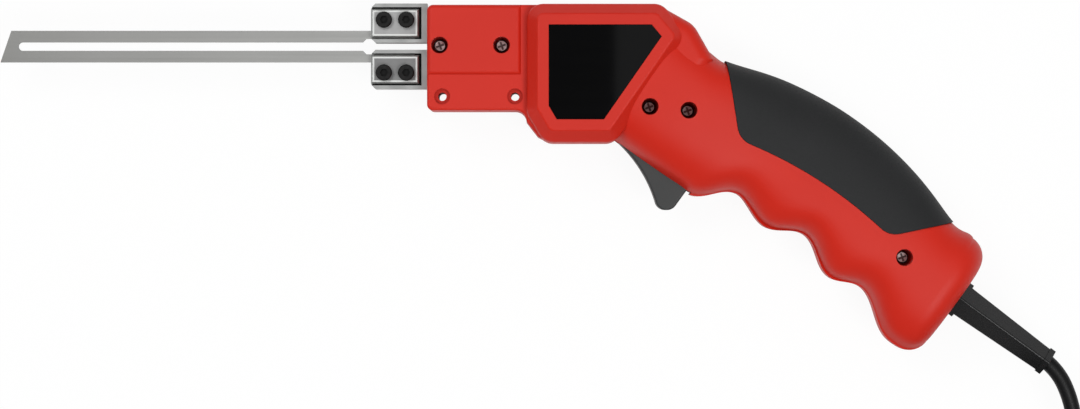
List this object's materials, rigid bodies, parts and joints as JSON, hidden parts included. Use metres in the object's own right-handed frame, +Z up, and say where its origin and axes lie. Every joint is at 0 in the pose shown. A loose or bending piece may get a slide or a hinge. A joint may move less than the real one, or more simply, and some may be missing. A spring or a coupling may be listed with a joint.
{
  "type": "electric hot knife",
  "caption": "Electric hot knife: slotted resistance blade in screwed clamps, moulded transformer body, finger-grooved handle with trigger, and a coiled mains cord with plug.",
  "frame": {"origin": "on the outer face of the right badge, the face that the tool rests on, 26.4 mm behind the body's front edge", "axes": "+X from the blade's tip to the handle, +Y from the trigger side to the back, +Z up from the resting face"},
  "size_m": [0.4024, 0.2571, 0.046],
  "materials": {
    "housing": "satin moulded plastic",
    "badge": "polished, bare",
    "grip": "soft matt overlay",
    "screw_zinc": "zinc plated",
    "blade_strip": "satin rolled resistance strip",
    "electrode_metal": "nickel plated, satin",
    "screw_black": "black oxide",
    "insulation": "heat-resistant moulding",
    "core_iron": "stacked laminations",
    "copper": "copper",
    "trigger_plastic": "satin moulded plastic",
    "spring_steel": "drawn wire",
    "switch_plastic": "moulded plastic",
    "plunger_plastic": "moulded plastic",
    "cord_rubber": "satin jacket",
    "sleeve_rubber": "soft moulding",
    "plug_plastic": "moulded plastic",
    "pin_metal": "nickel plated",
    "lead_brown": "wire jacket",
    "lead_blue": "wire jacket",
    "lead_black": "wire jacket"
  },
  "bodies": {
    "housing": {"blade": "blade_strip", "busbar_screws": "screw_zinc", "coil_bobbin": "insulation", "cord_clamp": "switch_plastic", "cord_clamp_screws": "screw_zinc", "cord_coil": "cord_rubber", "cord_sleeve": "sleeve_rubber", "cord_tail": "cord_rubber", "cord_tie": "sleeve_rubber", "electrode_insulator": "insulation", "housing_screws": "screw_zinc", "inner_cord": "cord_rubber", "left_badge": "badge", "left_grip": "grip", "left_shell": "housing", "live_lead": "lead_brown", "lower_clamp_plate": "electrode_metal", "lower_clamp_screws": "screw_black", "lower_electrode": "electrode_metal", "neutral_lead": "lead_blue", "plug_body": "plug_plastic", "plug_pins": "pin_metal", "power_cord": "cord_rubber", "primary_winding": "copper", "right_badge": "badge", "right_grip": "grip", "right_shell": "housing", "secondary_bar": "copper", "switch_body": "switch_plastic", "switch_lead": "lead_black", "transformer_core": "core_iron", "trigger_pin": "spring_steel", "trigger_spring": "spring_steel", "upper_clamp_plate": "electrode_metal", "upper_clamp_screws": "screw_black", "upper_electrode": "electrode_metal"},
    "trigger": {"trigger": "trigger_plastic"},
    "plunger": {"switch_plunger": "plunger_plastic"}
  },
  "joints": [
    {"name": "trigger_hinge", "type": "hinge", "parent": "housing", "child": "trigger", "pos_m": [0.01232, -0.02264, 0.023], "axis": [0, 0, 1], "range_deg": [0, 9], "stiffness_Nm_per_rad": 0.08, "springref_deg": -14.32, "deforming": ["trigger_spring"]},
    {"name": "plunger_slide", "type": "slide", "parent": "housing", "child": "plunger", "axis": [0.5878, 0.809, 0], "range_m": [0, 0.0034]}
  ],
  "couplings": [
    {"joint": "plunger_slide", "follows": "trigger_hinge", "m_per_rad": 0.0216}
  ]
}
